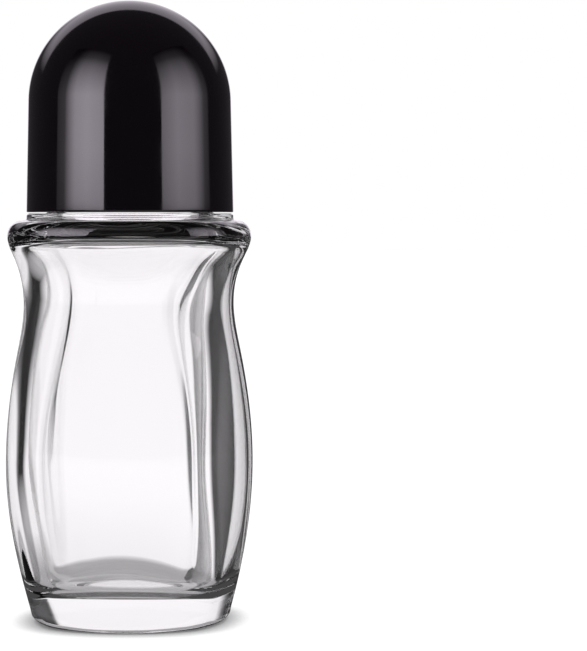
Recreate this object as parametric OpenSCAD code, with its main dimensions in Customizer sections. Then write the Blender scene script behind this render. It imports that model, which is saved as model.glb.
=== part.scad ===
// Roll-on bottle of clear glass with a domed screw cap.
// Millimetres, +Z up. The origin is the middle of the foot on the table, and the front faces -Y.

/* [Glass body] */
// Height of the flat top of the shoulder above the table
shoulder_h = 67.9; // [64:0.1:74]
// Width across the sides where they would meet the table without the heel's rounding
foot_w = 32.9; // [28:0.1:35]
// Widening of each side at the foot, in mm per mm of height
foot_flare = 0.29; // [0.15:0.01:0.35]
// Width across the sides at the belly
belly_w = 41.3; // [37:0.1:46]
// Height of the belly's widest line
belly_z = 27; // [22:0.5:34]
// Width across the sides at the waist
waist_w = 34.7; // [31:0.1:38]
// Height of the waist's narrowest line
waist_z = 54; // [46:0.5:56]
// Width across the sides at the shoulder lip
lip_w = 41.1; // [38:0.1:46]
// Height of the lip's rounded edge above its widest line
lip_edge_h = 2.7; // [1.5:0.1:4]
// Reach of the lip's rounded edge, inwards from its widest line
lip_edge_in = 2.3; // [1:0.1:3]
// Corner radius at the foot, seen from above
foot_corner_r = 7; // [3.5:0.1:9]
// Corner radius at the belly
belly_corner_r = 7.5; // [4.5:0.1:12]
// Corner radius at the waist
waist_corner_r = 8.6; // [5:0.1:14]
// Corner radius at the shoulder lip
lip_corner_r = 12.5; // [8:0.1:18]
// Radius of the bulging sides from the foot to the belly, seen from above
belly_side_r = 60; // [35:1:200]
// Radius of the bulging sides at the waist
waist_side_r = 75; // [35:1:200]
// Radius of the bulging sides at the shoulder lip
lip_side_r = 40; // [30:1:200]
// Radius of the heel, where the sides turn under
heel_r = 2; // [1:0.1:3]

/* [Glass thickness] */
// Thickness of the side walls down at the foot
foot_wall = 4.2; // [3:0.1:5]
// Thickness of the side walls at the belly
belly_wall = 3.1; // [2.2:0.1:3.8]
// Thickness of the side walls at the waist
waist_wall = 2.9; // [1.8:0.1:3.4]
// Corner radius of the cavity up to the belly
cavity_belly_corner_r = 7.4; // [4.5:0.1:10]
// Corner radius of the cavity from the waist up
cavity_waist_corner_r = 11.5; // [6:0.1:13]
// Radius of the cavity's bulging sides up to the belly
cavity_belly_r = 35; // [22:1:120]
// Radius of the cavity's bulging sides from the waist up
cavity_waist_r = 30; // [22:1:120]
// Thickness of the base at its edge
floor_t = 5.9; // [4:0.1:8]
// Rise of the floor inside, in the middle
floor_crown = 0.8; // [0.3:0.1:1.5]
// Diameter of the floor's raised middle
floor_crown_d = 22; // [16:0.5:24]
// Radius between the floor and the walls inside
floor_fillet = 3; // [2:0.1:4.5]
// Thickness of the shoulder above the cavity
shoulder_t = 2.4; // [1.8:0.1:4]
// Height of the turn from the walls into the neck, inside
cavity_turn_h = 1.4; // [1:0.1:4]
// Diameter of the round hollow under the base
push_up_d = 17.7; // [12:0.1:22]
// Depth of the hollow under the base
push_up_h = 0.9; // [0.4:0.1:2]

/* [Neck] */
// Height of the round collar that the cap stands over
collar_h = 1.2; // [0.8:0.1:2.5]
// Height of the neck above the collar
neck_h = 8.5; // [7:0.1:12]
// Thickness of the neck's glass
neck_wall = 2.3; // [1.8:0.1:3]
// Radius of the rim's edges
rim_r = 0.6; // [0.2:0.1:0.9]

/* [Ball and housing] */
// Diameter of the roller ball
ball_d = 25.4; // [20:0.1:28.6]
// Room between the ball and its socket, all round
ball_play = 0.1; // [0.05:0.01:0.2]
// Wall of the socket at the ball's equator
housing_wall = 1.1; // [0.8:0.1:1.8]
// Height of the retaining lip above the ball's middle
lip_reach = 5; // [3.5:0.1:6]
// Width of the bevel round the retaining lip's outer edge
lip_bevel = 1; // [0.5:0.1:1.2]
// Depth of the plug below the rim
plug_depth = 7; // [5.5:0.1:9]
// Wall of the plug
plug_wall = 1; // [0.8:0.1:1.5]
// Room between the plug and the neck's bore, all round
plug_play = 0.2; // [0.1:0.05:0.4]
// Number of sealing barbs on the plug
barb_count = 3; // [2:1:3]
// Height of one barb
barb_h = 1; // [0.8:0.1:1.2]
// Squeeze of each barb against the glass
barb_squeeze = 0.03; // [0.01:0.01:0.08]
// Width of a feed groove
groove_w = 2; // [1:0.1:3]
// Depth of a feed groove
groove_depth = 0.35; // [0.2:0.05:0.6]
// Number of feed holes round the socket's bottom, each with a groove up from it
feed_count = 6; // [3:1:8]
// Diameter of each feed hole
feed_d = 2.4; // [1.5:0.1:3]
// Diameter of the ring that the feed holes lie on
feed_ring_d = 13; // [11.6:0.1:15]
// Diameter of the feed hole in the middle
feed_middle_d = 6.6; // [4:0.1:7]

/* [Cap] */
// Room between the cap's lower edge and the collar
cap_gap = 0.2; // [0.1:0.05:0.6]
// Room for the thread between the neck and the liner
thread_room = 1.1; // [0.8:0.05:1.6]
// Wall of the liner
liner_wall = 0.8; // [0.6:0.05:1.2]
// Depth of the liner's lower edge inside the shell
liner_recess = 0.3; // [0.1:0.1:1]
// Height of the liner's foot flange
liner_foot_h = 0.8; // [0.5:0.1:1.5]
// Room between the liner and the shell
liner_room = 0.2; // [0.1:0.05:0.6]
// Number of ribs in the shell that grip the liner
grip_count = 12; // [6:1:18]
// Width of a grip rib
grip_w = 0.8; // [0.5:0.1:1.5]
// Squeeze of the ribs on the liner
grip_squeeze = 0.02; // [0.01:0.01:0.08]
// Wall of the shell's dome
dome_wall = 1.1; // [0.8:0.05:1.6]
// Widening of the shell from the dome down to the lower edge, on the radius
skirt_draft = 0.4; // [0:0.05:0.8]
// Height of the dome's middle above the ball's middle
dome_rise = 2.8; // [2.2:0.1:6]
// Outer diameter of the ring that bears on the ball
seal_d = 14; // [12:0.1:17]
// Wall of that ring
seal_wall = 1; // [0.6:0.1:1.6]
// Room between the ring and the ball, as drawn
seal_gap = 0.3; // [0.2:0.05:0.5]

/* [Hidden] */
$fn = 96;

// One overrun for all cuts
over = 1;

// Steps of the lofted forms: along each side, in each corner, and up each stretch
bulge_steps = 4;
corner_steps = 6;
round_steps = 4;
side_steps = 20;

// Points that shape the side between its named widths: share of the height,
// share of the change in width, and steepness as a share of the mean slope
chest_shares = [0.647, 0.561, 1.59];
flare_shares = [0.717, 0.635, 1.87];

// Least straight stretch beside a corner, so that no section closes to a full circle
flat_min = 0.3;

lip_z = shoulder_h - lip_edge_h;
cavity_top = shoulder_h - shoulder_t;
cavity_turn_z = cavity_top - cavity_turn_h;

ball_r = ball_d / 2;
socket_r = ball_r + ball_play;
housing_r = socket_r + housing_wall;
neck_r = housing_r;
bore_r = neck_r - neck_wall;
plug_r = bore_r - plug_play;
throat_r = plug_r - plug_wall;

rim_z = shoulder_h + collar_h + neck_h;
plug_z = rim_z - plug_depth;
// The socket's sphere meets the plug's inner wall at the rim
ball_z = rim_z + sqrt(pow(socket_r, 2) - pow(throat_r, 2));
housing_top = ball_z + lip_reach;

liner_in_r = neck_r + thread_room;
liner_out_r = liner_in_r + liner_wall;
shell_in_r = liner_out_r + liner_room;
dome_r = shell_in_r + dome_wall;
skirt_r = dome_r + skirt_draft;
collar_r = skirt_r;
skirt_z = shoulder_h + collar_h + cap_gap;
liner_z = skirt_z + liner_recess;
dome_z = ball_z + dome_rise;
cap_top = dome_z + dome_r;

function lerp(a, b, t) = a + (b - a) * t;

// Radius of the sphere whose cap has diameter d and height h
function cap_radius(d, h) = (pow(d / 2, 2) + pow(h, 2)) / (2 * h);

// Smooth curve through stations of [height, value, slope]
function span(a, b, z) =
    let (h = b.x - a.x, t = (z - a.x) / h, s = t * t * (3 - 2 * t))
    lerp(a.y, b.y, s) + h * t * (1 - t) * (a.z * (1 - t) - b.z * t);
function along(stations, z, i = 0) =
    i >= len(stations) - 2 || z <= stations[i + 1].x
        ? span(stations[i], stations[i + 1], z)
        : along(stations, z, i + 1);

// A station between two others, placed by shares
function between(a, b, shares) =
    let (rise = b.x - a.x, gain = b.y - a.y)
    [a.x + shares.x * rise, a.y + shares.y * gain, shares.z * gain / rise];

foot_station = [0, foot_w / 2, foot_flare];
belly_station = [belly_z, belly_w / 2, 0];
waist_station = [waist_z, waist_w / 2, 0];
lip_station = [lip_z, lip_w / 2, 0];
side_stations = [
    foot_station,
    belly_station,
    between(belly_station, waist_station, chest_shares),
    waist_station,
    between(waist_station, lip_station, flare_shares),
    lip_station
];
corner_stations = [
    [0, foot_corner_r, 0],
    [belly_z, belly_corner_r, 0],
    [waist_z, waist_corner_r, 0],
    [lip_z, lip_corner_r, 0]
];
side_r_stations = [
    [0, belly_side_r, 0],
    [belly_z, belly_side_r, 0],
    [waist_z, waist_side_r, 0],
    [lip_z, lip_side_r, 0]
];
wall_stations = [
    [0, foot_wall, 0],
    [belly_z, belly_wall, (waist_wall - foot_wall) / waist_z],
    [waist_z, waist_wall, 0],
    [lip_z, waist_wall, 0]
];
cavity_corner_stations = [
    [0, cavity_belly_corner_r, 0],
    [belly_z, cavity_belly_corner_r, 0],
    [waist_z, cavity_waist_corner_r, 0],
    [lip_z, cavity_waist_corner_r, 0]
];
cavity_r_stations = [
    [0, cavity_belly_r, 0],
    [belly_z, cavity_belly_r, 0],
    [waist_z, cavity_waist_r, 0],
    [lip_z, cavity_waist_r, 0]
];

// Corner radius r, held to what a section can take
function fitting(r, half) = min(max(r, flat_min), half - flat_min);

// A square with bulging sides of radius side_r and round corners of radius r at height z,
// as one ring of points. The arcs of a side and a corner share a tangent where they meet.
function section(half, r, side_r, z) =
    let (
        side_at = half - side_r,
        corner_at = (side_at + sqrt(2 * pow(side_r - r, 2) - pow(side_at, 2))) / 2,
        meet = atan2(corner_at, corner_at - side_at)
    )
    [
        for (k = [0 : 3])
            each turned(90 * k, z, concat(
                [
                    for (j = [0 : bulge_steps])
                        let (a = lerp(-meet, meet, j / bulge_steps))
                        [side_at + side_r * cos(a), side_r * sin(a)]
                ],
                [
                    for (j = [1 : corner_steps - 1])
                        let (a = lerp(meet, 90 - meet, j / corner_steps))
                        [corner_at + r * cos(a), corner_at + r * sin(a)]
                ]
            ))
    ];
function turned(angle, z, points) = [
    for (p = points)
        [p.x * cos(angle) - p.y * sin(angle), p.x * sin(angle) + p.y * cos(angle), z]
];

// The outside's section at height z, moved in by inset
function outer_ring(z, inset) =
    let (half = along(side_stations, z) - inset)
    section(half, fitting(along(corner_stations, z) - inset, half), along(side_r_stations, z) - inset, z);

// The cavity's section at height z, moved in by inset
function cavity_half(z) = along(side_stations, z) - along(wall_stations, z);
function cavity_ring(z, inset) =
    let (half = cavity_half(z) - inset)
    section(half, fitting(along(cavity_corner_stations, z) - inset, half), along(cavity_r_stations, z), z);

// Rings joined by triangles into one closed solid
module loft(rings) {
    n = len(rings[0]);
    m = len(rings);
    bottom = [for (i = [0 : n - 1]) i];
    top = [for (i = [n - 1 : -1 : 0]) (m - 1) * n + i];
    sides = [
        for (j = [0 : m - 2])
            for (i = [0 : n - 1])
                let (a = j * n + i, b = j * n + (i + 1) % n)
                each [[a, a + n, b + n], [a, b + n, b]]
    ];
    polyhedron(points = [for (r = rings) each r], faces = concat([bottom], sides, [top]));
}

module body_outside() {
    heel = [
        for (i = [0 : round_steps - 1])
            let (a = 90 * i / round_steps)
            outer_ring(heel_r * (1 - cos(a)), heel_r * (1 - sin(a)))
    ];
    sides = [for (i = [0 : side_steps]) outer_ring(lerp(heel_r, lip_z, i / side_steps), 0)];
    edge = [
        for (i = [1 : round_steps])
            let (a = 90 * i / round_steps, inset = lip_edge_in * (1 - cos(a)))
            section(
                lip_w / 2 - inset,
                lip_corner_r - inset,
                lip_side_r - inset,
                lip_z + lip_edge_h * sin(a)
            )
    ];
    loft(concat(heel, sides, edge));
}

module body_cavity() {
    fillet_z = floor_t + floor_fillet;
    turn_half = cavity_half(cavity_turn_z);
    neck_half = bore_r - plug_play;
    fillet = [
        for (i = [0 : round_steps - 1])
            let (a = 90 * i / round_steps)
            cavity_ring(fillet_z - floor_fillet * cos(a), floor_fillet * (1 - sin(a)))
    ];
    sides = [for (i = [0 : side_steps]) cavity_ring(lerp(fillet_z, cavity_turn_z, i / side_steps), 0)];
    turn = [
        for (i = [1 : round_steps])
            let (a = 90 * i / round_steps, t = 1 - cos(a))
            section(
                lerp(turn_half, neck_half, t),
                lerp(cavity_waist_corner_r, neck_half - flat_min, t),
                cavity_waist_r,
                cavity_turn_z + cavity_turn_h * sin(a)
            )
    ];
    crown_r = cap_radius(floor_crown_d, floor_crown);
    difference() {
        loft(concat(fillet, sides, turn));
        translate([0, 0, floor_t + floor_crown - crown_r]) sphere(r = crown_r);
    }
}

// Points of a quarter arc about [x, z], from angle a0 to angle a1
function arc(x, z, r, a0, a1) = [
    for (i = [0 : round_steps])
        let (a = lerp(a0, a1, i / round_steps))
        [x + r * cos(a), z + r * sin(a)]
];

module neck_outside() {
    bead_r = collar_h / 2;
    rotate_extrude()
        polygon(concat(
            [[0, shoulder_h - shoulder_t / 2], [collar_r - bead_r, shoulder_h - shoulder_t / 2]],
            arc(collar_r - bead_r, shoulder_h + bead_r, bead_r, -90, 90),
            [[neck_r, shoulder_h + collar_h]],
            arc(neck_r - rim_r, rim_z - rim_r, rim_r, 0, 90),
            [[0, rim_z]]
        ));
}

module neck_bore() {
    rotate_extrude()
        polygon(concat(
            [[0, cavity_top - cavity_turn_h / 2], [bore_r, cavity_top - cavity_turn_h / 2]],
            arc(bore_r + rim_r, rim_z - rim_r, rim_r, 180, 90),
            [[bore_r + rim_r, rim_z + over], [0, rim_z + over]]
        ));
}

module glass_bottle() {
    push_up_r = cap_radius(push_up_d, push_up_h);
    color("lightcyan", 0.4)
        difference() {
            union() {
                body_outside();
                neck_outside();
            }
            body_cavity();
            neck_bore();
            translate([0, 0, push_up_h - push_up_r]) sphere(r = push_up_r);
        }
}

// Plug, flange and socket as one turned solid, before it is hollowed
module housing_outside() {
    barb_r = bore_r + barb_squeeze;
    barb_pitch = (plug_depth - rim_r - barb_h) / barb_count;
    rotate_extrude() {
        polygon([
            [0, plug_z],
            [throat_r + plug_wall / 2, plug_z],
            [plug_r, plug_z + barb_h],
            [plug_r, rim_z],
            [housing_r, rim_z],
            [housing_r, housing_top - lip_bevel * 2],
            [housing_r - lip_bevel, housing_top],
            [0, housing_top]
        ]);
        for (i = [0 : barb_count - 1])
            translate([0, plug_z + barb_h + i * barb_pitch])
                polygon([[0, 0], [plug_r, 0], [barb_r, barb_h * 3 / 4], [barb_r, barb_h], [0, barb_h]]);
    }
}

module feed_holes() {
    translate([0, 0, plug_z - over]) cylinder(d = feed_middle_d, h = ball_z - plug_z);
    for (i = [0 : feed_count - 1])
        rotate([0, 0, 360 * (i + 1 / 2) / feed_count])
            translate([feed_ring_d / 2, 0, plug_z - over])
                cylinder(d = feed_d, h = ball_z - plug_z);
}

module feed_grooves() {
    inner = feed_ring_d / 2;
    intersection() {
        translate([0, 0, ball_z]) sphere(r = socket_r + groove_depth);
        for (i = [0 : feed_count - 1])
            rotate([0, 0, 360 * (i + 1 / 2) / feed_count])
                translate([inner, -groove_w / 2, plug_z])
                    cube([housing_r - inner, groove_w, ball_z + lip_reach / 4 - plug_z]);
    }
}

module ball_housing() {
    color("ivory")
        difference() {
            housing_outside();
            difference() {
                translate([0, 0, plug_z - over]) cylinder(r = throat_r, h = rim_z - plug_z);
                translate([0, 0, ball_z]) sphere(r = housing_r);
            }
            translate([0, 0, ball_z]) sphere(r = socket_r);
            feed_grooves();
            feed_holes();
        }
}

module roller_ball() {
    color("white") translate([0, 0, ball_z]) sphere(r = ball_r);
}

// Upper half of a disc of radius r about the height z, on the turning side of the axis
module quarter(r, z) {
    translate([0, z])
        intersection() {
            circle(r = r);
            square([r, r]);
        }
}

module cap_shell() {
    grip_in = liner_out_r - grip_squeeze;
    grip_z = liner_z + liner_foot_h;
    color("black") {
        rotate_extrude()
            difference() {
                union() {
                    polygon([[0, skirt_z], [skirt_r, skirt_z], [dome_r, dome_z], [0, dome_z]]);
                    quarter(dome_r, dome_z);
                }
                translate([0, skirt_z - over]) square([shell_in_r, dome_z - skirt_z + over]);
                quarter(shell_in_r, dome_z);
            }
        for (i = [0 : grip_count - 1])
            rotate([0, 0, 360 * i / grip_count])
                translate([grip_in, -grip_w / 2, grip_z])
                    cube([shell_in_r - grip_in + dome_wall / 2, grip_w, ball_z - grip_z]);
    }
}

module cap_liner() {
    seal_r = seal_d / 2;
    seal_in_r = seal_r - seal_wall;
    color("dimgray")
        rotate_extrude() {
            difference() {
                union() {
                    translate([0, liner_z]) square([liner_out_r, ball_z - liner_z]);
                    translate([0, liner_z]) square([shell_in_r - grip_squeeze, liner_foot_h]);
                    quarter(liner_out_r, ball_z);
                }
                translate([0, liner_z - over]) square([liner_in_r, ball_z - liner_z + over]);
                quarter(liner_in_r, ball_z);
                translate([0, ball_z]) square([seal_in_r, liner_out_r]);
            }
            difference() {
                intersection() {
                    quarter((liner_in_r + liner_out_r) / 2, ball_z);
                    translate([seal_in_r, ball_z]) square([seal_wall, liner_out_r]);
                }
                quarter(ball_r + seal_gap, ball_z);
            }
        }
}

glass_bottle();
ball_housing();
roller_ball();
cap_shell();
cap_liner();
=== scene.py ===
"""Clear glass roll-on bottle with a domed black screw cap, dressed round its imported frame.

The glass, the cap and its liner are fine meshes that stand where their plain solids are. The ball
and its housing keep their solids and get their finish here. Lengths are metres, +Z is up, and the
front faces -Y.
"""

import math

import bpy
import numpy as np
from bpy.props import FloatProperty, FloatVectorProperty, IntProperty, PointerProperty
from mathutils import Matrix, Vector


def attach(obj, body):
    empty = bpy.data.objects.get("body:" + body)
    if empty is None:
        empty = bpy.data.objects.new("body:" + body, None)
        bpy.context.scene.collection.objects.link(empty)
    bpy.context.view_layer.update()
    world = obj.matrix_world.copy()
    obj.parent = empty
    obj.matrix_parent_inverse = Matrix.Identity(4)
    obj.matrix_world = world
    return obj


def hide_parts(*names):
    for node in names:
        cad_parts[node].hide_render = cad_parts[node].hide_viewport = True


bl_info = {
    "name": "Roll-on bottle",
    "version": (1, 0, 0),
    "blender": (4, 5, 0),
    "location": "3D View > Sidebar > Roll-on bottle",
    "description": "Clear glass, mouldings and studio for a roll-on bottle with a screw cap",
    "category": "Add Mesh",
}

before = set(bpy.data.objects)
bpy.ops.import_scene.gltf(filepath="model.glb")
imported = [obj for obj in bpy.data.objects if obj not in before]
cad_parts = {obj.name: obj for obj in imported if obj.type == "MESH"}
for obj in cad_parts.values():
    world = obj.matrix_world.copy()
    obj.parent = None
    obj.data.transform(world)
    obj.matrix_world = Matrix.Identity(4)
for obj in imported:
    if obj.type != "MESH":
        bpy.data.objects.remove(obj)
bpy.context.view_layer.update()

MM = 0.001
TURN = 2 * math.pi


def linear(code):
    """Linear red, green, blue and alpha of an sRGB hex colour."""
    parts = [int(code[i : i + 2], 16) / 255 for i in (1, 3, 5)]
    return [c / 12.92 if c <= 0.04045 else ((c + 0.055) / 1.055) ** 2.4 for c in parts] + [1.0]


def length(name, mm, description):
    """A length in metres whose default is given in millimetres."""
    return FloatProperty(
        name=name,
        description=description,
        default=mm * MM,
        precision=5,
        subtype="DISTANCE",
        unit="LENGTH",
    )


def number(name, value, description, **more):
    """A plain number, such as a share, a slope or a strength."""
    return FloatProperty(name=name, description=description, default=value, **more)


def colour(name, code, description):
    """A colour whose default is an sRGB hex value."""
    return FloatVectorProperty(
        name=name,
        description=description,
        default=linear(code),
        size=4,
        min=0,
        max=1,
        subtype="COLOR",
    )


class GlassSizes(bpy.types.PropertyGroup):
    """Sizes of the glass. The foot's and the cavity's are set by the light that they bend."""

    shoulder_h: length("Shoulder height", 67.9, "Flat top of the shoulder above the table")
    foot_w: length("Foot width", 32.9, "Width where the sides would meet the table")
    foot_flare: number("Foot flare", 0.29, "Widening of each side at the foot, per unit of height")
    belly_w: length("Belly width", 41.3, "Width across the sides at the belly")
    belly_z: length("Belly height", 27, "Height of the belly's widest line")
    waist_w: length("Waist width", 34.7, "Width across the sides at the waist")
    waist_z: length("Waist height", 54, "Height of the waist's narrowest line")
    lip_w: length("Lip width", 41.1, "Width across the sides at the shoulder lip")
    lip_edge_h: length("Lip edge height", 2.7, "Height of the lip's rounded edge")
    lip_edge_in: length("Lip edge reach", 2.3, "Reach of the lip's rounded edge, inwards")
    foot_corner_r: length("Foot corner", 7, "Corner radius at the foot, from above")
    belly_corner_r: length("Belly corner", 7.5, "Corner radius at the belly")
    waist_corner_r: length("Waist corner", 8.6, "Corner radius at the waist")
    lip_corner_r: length("Lip corner", 12.5, "Corner radius at the lip")
    foot_side_r: length("Foot side", 24, "Radius of the bulging sides at the foot")
    belly_side_r: length("Belly side", 60, "Radius of the bulging sides at the belly")
    waist_side_r: length("Waist side", 75, "Radius of the bulging sides at the waist")
    lip_side_r: length("Lip side", 40, "Radius of the bulging sides at the lip")
    heel_corner_r: length("Heel radius, corners", 2.2, "Radius where the corners turn under")
    heel_r: length("Heel radius", 1.4, "Radius where the sides turn under")
    foot_wall: length("Foot wall", 3.4, "Thickness of the side walls down at the floor")
    belly_wall: length("Belly wall", 3.1, "Thickness of the side walls at the belly")
    waist_wall: length("Waist wall", 2.9, "Thickness of the side walls at the waist")
    cavity_belly_corner_r: length("Cavity corner, belly", 7.4, "Its corners up to the belly")
    cavity_waist_corner_r: length("Cavity corner, waist", 11.5, "Its corners from the waist up")
    cavity_belly_r: length("Cavity side, belly", 29, "Radius of its sides up to the belly")
    cavity_waist_r: length("Cavity side, waist", 30, "Radius of its sides from the waist up")
    floor_t: length("Floor", 5.9, "Thickness of the base at its edge")
    floor_crown: length("Floor crown", 0.8, "Rise of the floor inside, in the middle")
    floor_crown_d: length("Crown diameter", 22, "Diameter of the floor's raised middle")
    floor_fillet: length("Floor fillet", 3, "Radius between the floor and the walls, inside")
    shoulder_t: length("Shoulder thickness", 2.4, "Glass above the cavity")
    turn_h: length("Cavity turn", 1.4, "Height of the turn from the walls into the neck, inside")
    turn_edge_r: length("Bore edge", 3.0, "Radius of the edge where the cavity meets the bore")
    push_up_d: length("Push-up diameter", 17.7, "Round hollow under the base")
    push_up_h: length("Push-up depth", 0.9, "Depth of that hollow")
    push_up_flat: number("Push-up flat", 0.7, "Share of the hollow's radius that is flat")
    push_up_edge_r: length("Push-up edge", 0.8, "Radius of the hollow's edge")
    collar_r: length("Collar radius", 17.5, "Round collar that the cap stands over")
    collar_h: length("Collar height", 1.2, "Height of the collar")
    fillet_r: length("Fire-polished radius", 0.45, "Radius of the neck's small edges")
    neck_r: length("Neck radius", 13.9, "Root of the neck's thread")
    neck_h: length("Neck height", 8.5, "Neck above the collar")
    bore_r: length("Bore radius", 11.6, "Radius of the neck's bore")
    rim_r: length("Rim radius", 0.6, "Radius of the rim's edges")
    thread_h: length("Thread height", 0.85, "How far the thread stands out of the neck")
    thread_w: length("Thread width", 1.9, "Width of the thread at its root")
    lean: length("Cavity lean", -0.9, "How far to the right the blown cavity stands, at the belly")
    lean_in: number("Lean starts", 0.4, "Share of the cavity's height that takes up its lean")
    lean_out: number("Lean ends", 0.75, "Share of the cavity's height above which the lean fades")
    wave: length("Wall wave", 0.05, "Waviness that blowing leaves on the inner wall")


class CapSizes(bpy.types.PropertyGroup):
    """Sizes of the cap's shell and liner, as in the solids that they stand for."""

    dome_r: length("Dome radius", 17.1, "Outside of the dome")
    dome_z: length("Dome height", 87.862, "Height of the dome's middle")
    skirt_r: length("Skirt radius", 17.5, "Outside of the skirt at its lower edge")
    skirt_z: length("Skirt height", 69.3, "Height of the skirt's lower edge")
    shell_in_r: length("Shell inside", 16, "Radius inside the shell")
    edge_r: length("Skirt edge", 0.25, "Radius of the skirt's outer edge")
    liner_z: length("Liner height", 69.6, "Height of the liner's lower edge")
    liner_in_r: length("Liner inside", 15, "Root of the liner's thread")
    liner_out_r: length("Liner outside", 15.8, "Radius outside the liner")
    liner_foot_r: length("Liner foot", 15.98, "Flange that seats in the shell")
    liner_foot_h: length("Liner foot height", 0.8, "Height of that flange")
    liner_edge_r: length("Liner edge", 0.15, "Radius of the liner's small edges")
    liner_lead: length("Liner lead", 1, "Plain wall above the liner's thread")
    ball_z: length("Ball height", 85.062, "Height of the ball's middle")
    seal_r: length("Seal radius", 7, "Outside of the ring that bears on the ball")
    seal_wall: length("Seal wall", 1, "Wall of that ring")
    seal_in_r: length("Seal sphere", 13, "Sphere that the ring's lower edge follows")
    thread_h: length("Thread height", 0.85, "How far the liner's thread stands in")
    thread_w: length("Thread width", 1.25, "Width of the liner's thread at its root")


class ThreadSizes(bpy.types.PropertyGroup):
    """The thread that the neck and the liner share."""

    pitch: length("Pitch", 3.2, "Rise of the thread in a turn")
    start_z: length("Start", 70.7, "Height where the neck's thread starts")
    laps: number("Laps", 1.3, "Turns of the thread")
    fade: number("Run-out", 0.07, "Share of a turn in which the thread runs out at each end")
    flank: number("Flank", 1.6, "Steepness of the thread's sides, above 1 with a flat crest")


class Finishes(bpy.types.PropertyGroup):
    """Colours of the five materials."""

    flint: colour("Flint glass", "#FFFFFF", "Surface tint of the glass")
    flint_depth: colour("Glass in depth", "#E9EBF1", "What a long way through glass lets through")
    flint_density: number("Glass density", 2.0, "How fast the glass takes on its tint in depth")
    gloss_black: colour("Gloss black", "#070308", "Moulded cap shell")
    liner_black: colour("Liner black", "#151416", "Moulded liner")
    natural_pe: colour("Natural polyethylene", "#EFEEE8", "Moulded housing")
    flow_shade: number("Flow shade", 0.93, "Darkest flow lines of the housing, as a share of white")
    white_pp: colour("White polypropylene", "#F4F4F2", "Ground ball")


class Studio(bpy.types.PropertyGroup):
    """Camera and light, worked out from the photograph."""

    distance: length("Camera distance", 420, "From the bottle's axis to the camera")
    azimuth: number("Camera azimuth", 6.5, "Degrees from the front to the bottle's right")
    eye_z: length("Camera height", 69.3, "Height of the camera above the table")
    pixel: length("Pixel", 0.1701, "What one pixel of the photograph spans at the axis")
    frame_w: IntProperty(name="Frame width", description="Pixels", default=587)
    frame_h: IntProperty(name="Frame height", description="Pixels", default=651)
    axis_x: number("Axis", 130.4, "Pixel column of the bottle's axis")
    eye_y: number("Eye level", 212, "Pixel row at the camera's own height")
    table_half: length("Table", 4000, "Half the table's width")
    table_grey: colour("Table grey", "#707074", "How much of the light the matt table gives back")
    # The table's painted shadow under the foot.
    contact: length("Contact shade", 6, "How near to the foot the table darkens")
    card_foot: length("Card foot", 72, "Height of the cards' lower edges")
    card_top: length("Card top", 190, "Height of the cards' upper edges")
    left_card: number("Left card", 5.8, "Brightness of the card at the left")
    right_card: number("Right card", 3.9, "Brightness of the card at the right")
    dim: number("Dim studio", 0.06, "Brightness that reflections find where nothing is lit")
    # Painted light and shade on the table that only the glass finds: a pale patch, a white strip
    # and the bottle's shade.
    patch_x: length("Patch place", 60, "How far left of the axis the glass finds a pale patch")
    patch_r: length("Patch radius", 40, "Radius within which that patch is at its palest")
    patch_fade: number("Patch fade", 3, "How many times that radius the patch reaches")
    patch_level: number("Patch level", 0.5, "Brightness of the patch")
    strip_half: length("Strip", 12, "Half the width of the white strip that the foot finds")
    strip_edge: length("Strip edge", 1.5, "Width of that strip's soft edge")
    shade_reach: length("Shade", 220, "How far the bottle's shade reaches, as the glass finds it")


GROUPS = {
    "roll_on_glass": GlassSizes,
    "roll_on_cap": CapSizes,
    "roll_on_thread": ThreadSizes,
    "roll_on_finish": Finishes,
    "roll_on_studio": Studio,
}


def lerp(a, b, t):
    return a + (b - a) * t


def smooth(t):
    """Eases a share from 0 to 1, level at both ends."""
    t = np.clip(t, 0, 1)
    return t * t * (3 - 2 * t)


def span(a, b, z):
    """Value at z on the smooth curve between two stations of (height, value, slope)."""
    h = b[0] - a[0]
    t = (z - a[0]) / h
    return lerp(a[1], b[1], t * t * (3 - 2 * t)) + h * t * (1 - t) * (a[2] * (1 - t) - b[2] * t)


def along(stations, z):
    """Value at height z. Past the ends it goes on straight."""
    first, last = stations[0], stations[-1]
    if z <= first[0]:
        return first[1] + first[2] * (z - first[0])
    if z >= last[0]:
        return last[1] + last[2] * (z - last[0])
    for a, b in zip(stations, stations[1:]):
        if z <= b[0]:
            return span(a, b, z)


def between(a, b, shares):
    """A station between two others, placed by shares."""
    rise, gain = b[0] - a[0], b[1] - a[1]
    return (a[0] + shares[0] * rise, a[1] + shares[1] * gain, shares[2] * gain / rise)


CHEST_SHARES = (0.647, 0.561, 1.59)
FLARE_SHARES = (0.717, 0.635, 1.87)
EASE_REACH = 2.4 * MM
EASE_STEPS = 9
LEAST_CORNER = 0.3 * MM


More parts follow.
